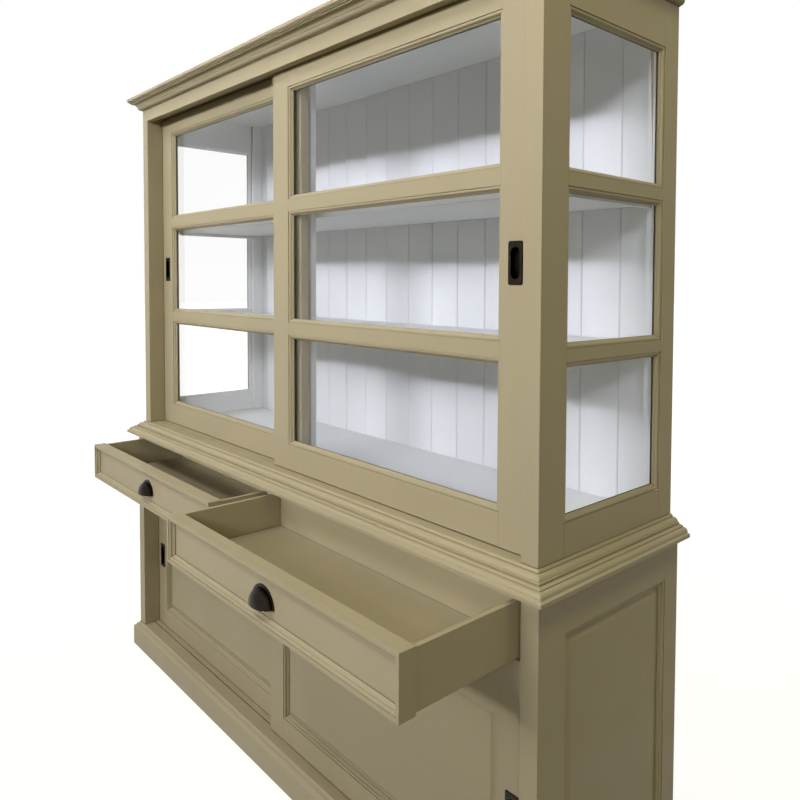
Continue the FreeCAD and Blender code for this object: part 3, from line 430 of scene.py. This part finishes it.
def mark_edges(work, node):
    """Mark the sharp edges that get eased: all but the rim of the pocket for a pull."""
    weight = work.edges.layers.float.new("bevel_weight_edge")
    pocket = None
    if node.endswith("_door_frame"):
        low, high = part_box(node.replace("_frame", "_pull"))
        pocket = [(low[i] - POCKET_MARGIN, high[i] + POCKET_MARGIN) for i in range(3)]
    for edge in work.edges:
        if len(edge.link_faces) != 2 or edge.calc_face_angle() < SMOOTH_ANGLE:
            continue
        middle = (edge.verts[0].co + edge.verts[1].co) / 2
        if pocket and all(pocket[i][0] < middle[i] < pocket[i][1] for i in range(3)):
            continue
        edge[weight] = 1.0


def dressed(node, bevel, two_tone=False):
    """Replace a node by the same shape with merged flats, eased edges and its paint."""
    mesh = bpy.data.meshes.new(node + "_look")
    work = bmesh.new()
    work.verts.layers.float_vector.new("grain")
    for triangles in closed_solids(node):
        add_solid(work, triangles)
    bmesh.ops.recalc_face_normals(work, faces=work.faces)
    mark_edges(work, node)
    if two_tone:
        for face in work.faces:
            face.material_index = 1 if is_inside(face) else 0
    work.to_mesh(mesh)
    work.free()
    mesh.materials.append(materials[slot_of_node[node]])
    if two_tone:
        mesh.materials.append(materials["white_paint"])
    finish_piece(mesh, node, bevel)


def finish_piece(mesh, node, bevel=None):
    """Smooth shading, eased edges, and the body of the node that the mesh stands for."""
    mesh.shade_smooth()
    mesh.set_sharp_from_angle(angle=SMOOTH_ANGLE)
    piece = bpy.data.objects.new(node + "_look", mesh)
    bpy.context.collection.objects.link(piece)
    if bevel:
        ease = piece.modifiers.new("eased_edges", "BEVEL")
        ease.width = bevel
        ease.segments = BEVEL_SEGMENTS
        ease.limit_method = "WEIGHT"
        ease.use_clamp_overlap = False
        ease.harden_normals = True
    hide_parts(node)
    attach(piece, body_of_node[node])


# ---------------------------------------------------------------- bronze fittings
CUP_FLANGE = 0.006
CUP_PLATE = 0.0025                    # thickness of the flange
CUP_WALL = 0.0022
CUP_SLICES = 48
CUP_STEPS = 18
CUP_SHOULDER = 0.92                   # powers that make the dome fuller than an ellipsoid
CUP_BROW = 0.9
# Outer edge of the flange, as shares of its width and of its thickness.
FLANGE_EDGE = ((1.0, 0.0), (1.0, 0.55), (0.87, 0.86), (0.68, 1.0))
PULL_POINTS = 96
PULL_CORNER = 0.004
PULL_EASE = 0.0011
PULL_PLATE = 0.002
RECESS_WIDTH = 0.0235
RECESS_HEIGHT = 0.063
RECESS_EASE = 0.0007
RECESS_DEPTH = 0.011
RECESS_WALL = 0.0015
# Rounded foot of the recess: how much narrower it is, and how far above its floor.
RECESS_FOOT = ((0.0, 0.003), (0.002, 0.001), (0.006, 0.0))
# Eased edge, as shares of its size: how much narrower, how much less corner and how deep.
EASED = ((0.0, 0.0, 1.0), (0.6, 0.0, 0.3), (2.0, 1.0, 0.0))
HALVINGS = 40                         # of the search for a point of an outline


def finish_fitting(work, node):
    """Turn the faces outward and make the bronze piece of a pull."""
    bmesh.ops.recalc_face_normals(work, faces=work.faces)
    mesh = bpy.data.meshes.new(node + "_look")
    work.to_mesh(mesh)
    work.free()
    mesh.materials.append(materials["dark_bronze"])
    finish_piece(mesh, node)


def bridge(work, first, second):
    """Quads between two closed loops of as many vertices."""
    count = len(first)
    for i in range(count):
        j = (i + 1) % count
        work.faces.new((first[i], first[j], second[j], second[i]))


def stadium(width, height, radius, y, centre):
    """Points of a rounded rectangle in a plane across Y, at even angles about its centre."""
    points = []
    for i in range(PULL_POINTS):
        angle = 2 * math.pi * (i + 0.5) / PULL_POINTS
        way = Vector((math.cos(angle), math.sin(angle)))
        low, high = 0.0, width + height
        for _ in range(HALVINGS):
            middle = (low + high) / 2
            x = max(abs(way.x * middle) - (width / 2 - radius), 0)
            z = max(abs(way.y * middle) - (height / 2 - radius), 0)
            low, high = (middle, high) if math.hypot(x, z) < radius else (low, middle)
        points.append(Vector((centre.x + way.x * low, y, centre.z + way.y * low)))
    return points


def flush_pull(node):
    """Plate with eased edges around an oval cup with a rounded rim, let into the stile."""
    low, high = (Vector(corner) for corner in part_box(node))
    centre = (low + high) / 2
    front = low.y
    plate = [(0.0, 0.0, PULL_PLATE)]
    plate += [tuple(share * PULL_EASE for share in shares) for shares in EASED]
    loops = [(high.x - low.x - less, high.z - low.z - less, PULL_CORNER - corner, deep)
             for less, corner, deep in plate]
    oval = [(-less * RECESS_EASE, deep * RECESS_EASE) for less, _, deep in reversed(EASED)]
    oval += [(less, RECESS_DEPTH - above) for less, above in RECESS_FOOT]
    loops += [(RECESS_WIDTH - less, RECESS_HEIGHT - less, (RECESS_WIDTH - less) / 2, deep)
              for less, deep in oval]
    work = bmesh.new()

    def ring(width, height, radius, deep):
        """Closed loop of vertices behind the front of the plate."""
        return [work.verts.new(point)
                for point in stadium(width, height, radius, front + deep, centre)]

    rings = [ring(*loop) for loop in loops]
    for first, second in zip(rings, rings[1:]):
        bridge(work, first, second)
    work.faces.new(rings[-1])
    shell = (RECESS_WIDTH + 2 * RECESS_WALL, RECESS_HEIGHT + 2 * RECESS_WALL)
    cup = ring(*shell, shell[0] / 2, PULL_PLATE)
    end = ring(*shell, shell[0] / 2, high.y - front)
    bridge(work, cup, rings[0])
    bridge(work, end, cup)
    work.faces.new(end)
    finish_fitting(work, node)


def cup_pull(node):
    """Shell of a cup pull: flange around the arch, deep dome with a lower lip as thick as its
    wall.
    """
    low, high = (Vector(corner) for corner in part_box(node))
    centre_x = (low.x + high.x) / 2
    panel = high.y
    bottom = low.z
    half = (high.x - low.x) / 2 - CUP_FLANGE
    tall = high.z - low.z - CUP_FLANGE
    deep = high.y - low.y
    work = bmesh.new()

    def shell(inset):
        """Grid of the dome's surface, drawn in by inset."""
        rows = []
        for i in range(1, CUP_SLICES):
            side = math.pi * (i / CUP_SLICES - 0.5)
            round_off = math.cos(side) ** CUP_SHOULDER
            row = []
            for j in range(CUP_STEPS + 1):
                turn = math.pi / 2 * j / CUP_STEPS
                y = panel - (deep - inset) * round_off * math.sin(turn) ** CUP_BROW
                z = bottom + (tall - inset) * round_off * math.cos(turn)
                x = centre_x + (half - inset) * math.sin(side)
                row.append(work.verts.new((x, y, z)))
            rows.append(row)
        return rows

    outer = shell(0)
    inner = shell(CUP_WALL)
    for rows in (outer, inner):
        for first, second in zip(rows, rows[1:]):
            for j in range(CUP_STEPS):
                work.faces.new((first[j], first[j + 1], second[j + 1], second[j]))
    for edge in (0, CUP_STEPS):
        for i in range(len(outer) - 1):
            work.faces.new((outer[i][edge], outer[i + 1][edge], inner[i + 1][edge],
                            inner[i][edge]))
    for i in (0, -1):
        for j in range(CUP_STEPS):
            work.faces.new((outer[i][j], outer[i][j + 1], inner[i][j + 1], inner[i][j]))
    flange(work, centre_x, panel, bottom, half, tall)
    finish_fitting(work, node)


def flange(work, centre_x, panel, bottom, half, tall):
    """Half-oval ring with an eased outer edge, flat on the drawer front."""
    section = [(-CUP_WALL, 0.0)]
    section += [(CUP_FLANGE * width, rise) for width, rise in FLANGE_EDGE]
    section.append((-CUP_WALL, 1.0))
    rows = []
    for i in range(CUP_SLICES + 1):
        angle = math.pi * i / CUP_SLICES
        rows.append([work.verts.new((centre_x + (half + out) * math.cos(angle),
                                     panel - CUP_PLATE * rise,
                                     bottom + (tall + out) * math.sin(angle)))
                     for out, rise in section])
    for first, second in zip(rows, rows[1:]):
        bridge(work, first, second)
    work.faces.new(rows[0])
    work.faces.new(rows[-1])


# ---------------------------------------------------------------- the whole object
# Widths of the eased edges, in metres.
BEVELS = {"hutch_posts_front": 0.0012, "hutch_posts_rear": 0.001, "base_posts_front": 0.0012,
          "base_posts_rear": 0.001, "hutch_shelves": 0.0012, "base_shelves": 0.0012,
          "hutch_centre_post": 0.001, "left_drawer_box": 0.0015, "right_drawer_box": 0.0015,
          "hutch_back_boards": 0.0004}
TRIM_BEVEL = 0.00035
GLASS_BEVEL = 0.0002
COMMON_BEVEL = 0.0006
TRIM_ENDINGS = ("_beads", "_moulding", "_mouldings", "cornice", "plinth", "base_top")
TWO_TONE = {"hutch_posts_front", "hutch_posts_rear", "hutch_side_frame_left",
            "hutch_side_frame_right", "hutch_side_beads", "hutch_floor", "hutch_top",
            "door_tracks"}


def dress_all():
    """Replace every node by its dressed piece."""
    for node in frame["nodes"]:
        if node.endswith("_drawer_pull"):
            cup_pull(node)
        elif node.endswith("_door_pull"):
            flush_pull(node)
        elif node in BEVELS:
            dressed(node, BEVELS[node], node in TWO_TONE)
        elif node.endswith(TRIM_ENDINGS):
            dressed(node, TRIM_BEVEL, node in TWO_TONE)
        elif node.endswith("_glass"):
            dressed(node, GLASS_BEVEL)
        else:
            dressed(node, COMMON_BEVEL, node in TWO_TONE)


# ---------------------------------------------------------------- stage and light
AMBIENT = 0.07
AMBIENT_TINT = (1.05, 1.0, 0.78)
WARM = (1.05, 1.0, 0.58)
COOL = (0.985, 1.0, 1.16)
FAR_SPREAD = math.radians(50)
HIGH_FRONT = (0, 0, 2.55)             # where the three far lamps point
# By name: place, target, width, height, power in watts, tint and spread.
LAMPS = {
    "far": ((0.0, -9.2, 4.35), HIGH_FRONT, 5.0, 0.5, 46.0, COOL, FAR_SPREAD),
    "far_right": ((6.2, -6.8, 4.35), HIGH_FRONT, 5.0, 0.5, 28.0, COOL, FAR_SPREAD),
    "far_left": ((-6.2, -6.8, 4.35), HIGH_FRONT, 5.0, 0.5, 28.0, COOL, FAR_SPREAD),
    "key": ((-0.3, -2.9, 5.2), (0, 0, 1.4), 3.0, 1.0, 106.0, COOL, math.pi),
    "side": ((2.7, -0.3, 4.4), (1.0, 0, 0.9), 1.6, 0.8, 34.0, WARM, math.pi),
    "left": ((-2.9, -0.3, 4.2), (-1.0, 0, 0.9), 1.6, 0.8, 16.0, WARM, math.pi),
    "back": ((0.0, 5.5, 3.6), (0, 0, 1.2), 3.0, 2.0, 140.0, COOL, math.pi),
}
FLOOR_REACH = 40.0
FLOOR_ROUGHNESS = 0.85
FLOOR_NOISE = (30.0, 3.0, 0.5)
FLOOR_TONE = (0.985, 1.015)
# The floor's own white, where it is looked at: beside the object, and away from it.
FLOOR_WHITE = (0.88, 0.99)
FLOOR_WHITE_FROM = (1.6, 5.0)         # distances from the middle


def area_light(name, place, target, width, height, power, tint, spread):
    """Soft rectangular lamp that points at a target."""
    data = bpy.data.lights.new(name, "AREA")
    data.shape = "RECTANGLE"
    data.size = width
    data.size_y = height
    data.energy = power
    data.color = tint
    data.spread = spread
    lamp = bpy.data.objects.new(name, data)
    lamp.visible_glossy = False
    lamp.location = place
    towards = Vector(target) - Vector(place)
    lamp.rotation_euler = towards.to_track_quat("-Z", "Y").to_euler()
    bpy.context.collection.objects.link(lamp)


def seen_directly(shader):
    """1 for camera, mirror and see-through rays, 0 for the rays that light the object."""
    path = shader.node("LightPath")
    total = shader.plus(path.outputs["Is Camera Ray"], path.outputs["Is Glossy Ray"])
    return shader.plus(total, path.outputs["Is Transmission Ray"])


def make_world():
    """White to look at, and a plain dimmer light on the object."""
    world = bpy.data.worlds.new("studio")
    shader = Shader(world, "Background")
    seen = seen_directly(shader)
    shader.set(Strength=shader.span(seen, AMBIENT, 1.0),
               Color=shader.mix(seen, AMBIENT_TINT, PURE_WHITE))
    bpy.context.scene.world = world


def make_floor():
    """Wide pale floor that turns white where no shadow falls on it."""
    mesh = bpy.data.meshes.new("floor")
    corners = ((-1, -1), (1, -1), (1, 1), (-1, 1))
    mesh.from_pydata([(FLOOR_REACH * x, FLOOR_REACH * y, 0) for x, y in corners],
                     [], [(0, 1, 2, 3)])
    shader = new_shader("floor")
    grain = shader.spread(shader.even_noise(*FLOOR_NOISE), *FLOOR_TONE)
    away = shader.node("VectorMath", operation="LENGTH")
    shader.join(shader.place(EVERYWHERE), away.inputs[0])
    level = shader.span(away.outputs["Value"], *FLOOR_WHITE, *FLOOR_WHITE_FROM)
    shader.set(Base_Color=shader.shade(FLOOR, grain), Roughness=FLOOR_ROUGHNESS,
               Emission_Color=(*PURE_WHITE, 1),
               Emission_Strength=shader.times(seen_directly(shader), level))
    mesh.materials.append(shader.owner)
    floor = bpy.data.objects.new("floor", mesh)
    bpy.context.collection.objects.link(floor)


make_camera()
materials = make_materials()
dress_all()
make_floor()
make_world()
for lamp, settings in LAMPS.items():
    area_light(lamp, *settings)
bpy.context.scene.view_settings.view_transform = "Standard"
